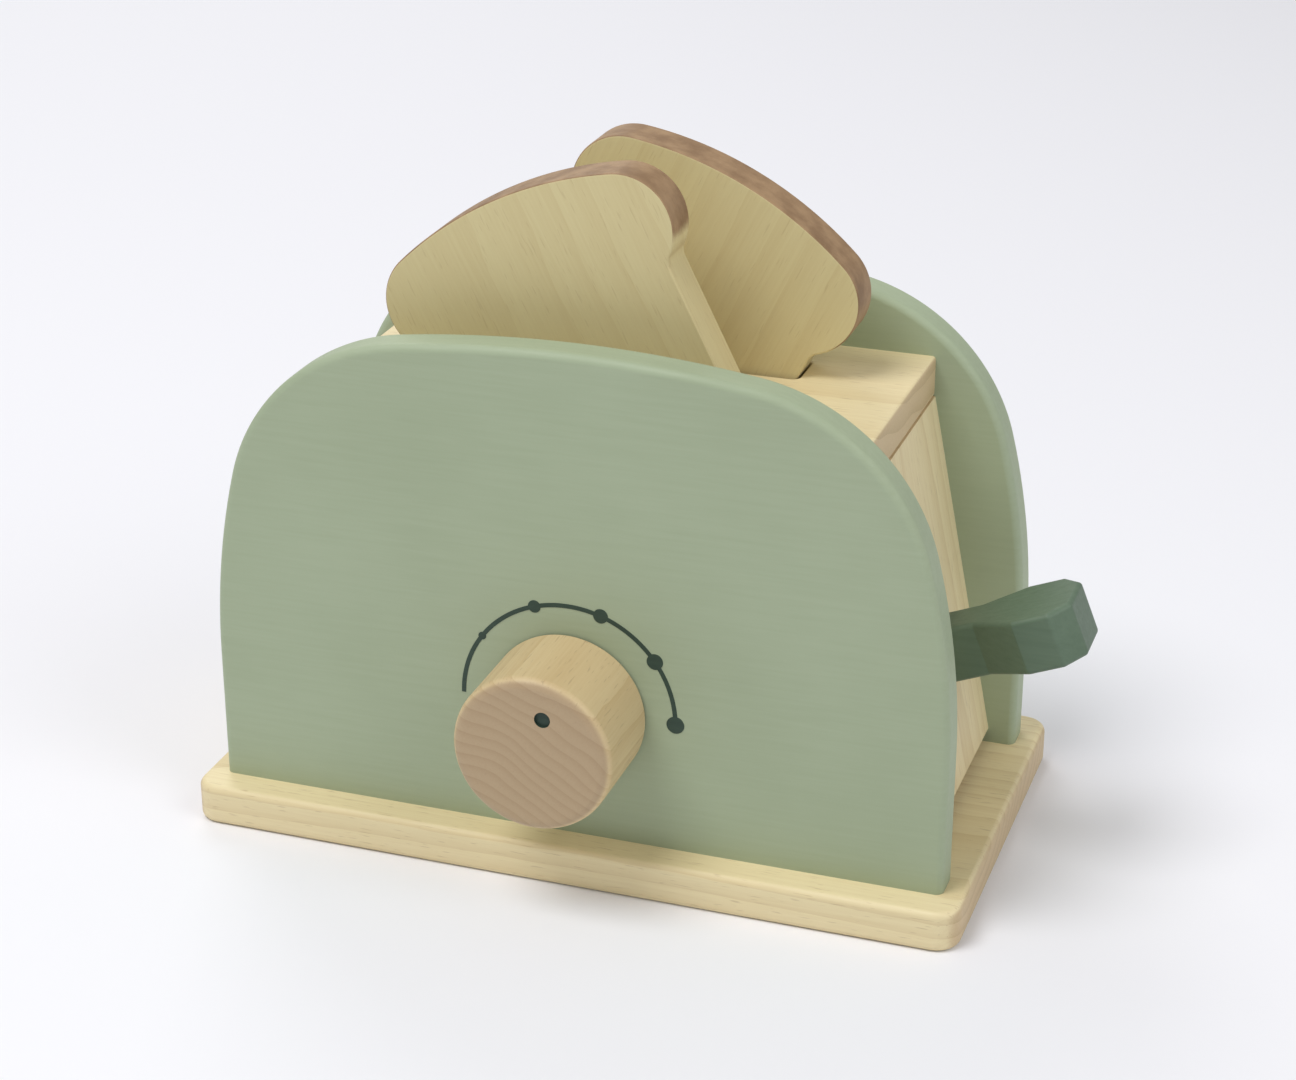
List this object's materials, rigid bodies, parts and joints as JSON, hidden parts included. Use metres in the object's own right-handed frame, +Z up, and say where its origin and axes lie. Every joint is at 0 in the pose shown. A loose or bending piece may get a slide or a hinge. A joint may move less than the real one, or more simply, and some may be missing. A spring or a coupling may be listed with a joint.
{
  "type": "toy toaster",
  "caption": "Wooden toy pop-up toaster with arched side panels, a press-down end lever, a turning dial knob and toast slices leaning in the slots.",
  "frame": {"origin": "centre of the underside of the base board, on the surface it stands on", "axes": "+X towards the end with the lever, -Y towards the side with the dial knob, +Z up"},
  "size_m": [0.175, 0.1, 0.1386],
  "materials": {
    "pale_wood": "sanded, clear matt lacquer",
    "sage_paint": "matt water-based paint over wood",
    "dark_green_paint": "matt water-based paint over wood",
    "dowel_wood": "turned, bare",
    "toast_wood": "sanded bare wood, crust edge painted brown",
    "knob_wood": "turned, clear matt lacquer",
    "steel": "zinc plated"
  },
  "bodies": {
    "toaster": {"base_board": "pale_wood", "front_panel": "sage_paint", "rear_panel": "sage_paint", "top_board": "pale_wood", "left_end_wall": "pale_wood", "right_end_wall": "pale_wood", "lever_pivot_pin": "dowel_wood", "pivot_spacer_front": "dowel_wood", "pivot_spacer_rear": "dowel_wood", "base_screws": "steel", "wall_dowels": "dowel_wood", "top_dowels": "dowel_wood"},
    "lever": {"lever": "dark_green_paint", "toast_post": "dark_green_paint", "toast_post_screw": "steel", "toast_rest_dowel": "dowel_wood"},
    "front_toast": {"toast_slice_front": "toast_wood"},
    "rear_toast": {"toast_slice_rear": "toast_wood"},
    "knob": {"knob": "knob_wood", "knob_spindle": "dowel_wood", "knob_retainer": "dowel_wood"}
  },
  "joints": [
    {"name": "lever_press", "type": "hinge", "parent": "toaster", "child": "lever", "pos_m": [0.038, 0, 0.03139], "axis": [0, 1, 0], "range_deg": [0, 22]},
    {"name": "front_toast_lift", "type": "slide", "parent": "toaster", "child": "front_toast", "axis": [-0.451, 0, 0.8925], "range_m": [0, 0.0102]},
    {"name": "rear_toast_lift", "type": "slide", "parent": "toaster", "child": "rear_toast", "axis": [0.451, 0, 0.8925], "range_m": [0, 0.0162]},
    {"name": "knob_turn", "type": "hinge", "parent": "toaster", "child": "knob", "pos_m": [0, -0.043, 0.036], "axis": [0, 1, 0], "range_deg": [-108, 72]}
  ],
  "couplings": [
    {"joint": "front_toast_lift", "follows": "lever_press", "m_per_rad": 0.02593},
    {"joint": "rear_toast_lift", "follows": "lever_press", "m_per_rad": 0.04177}
  ]
}
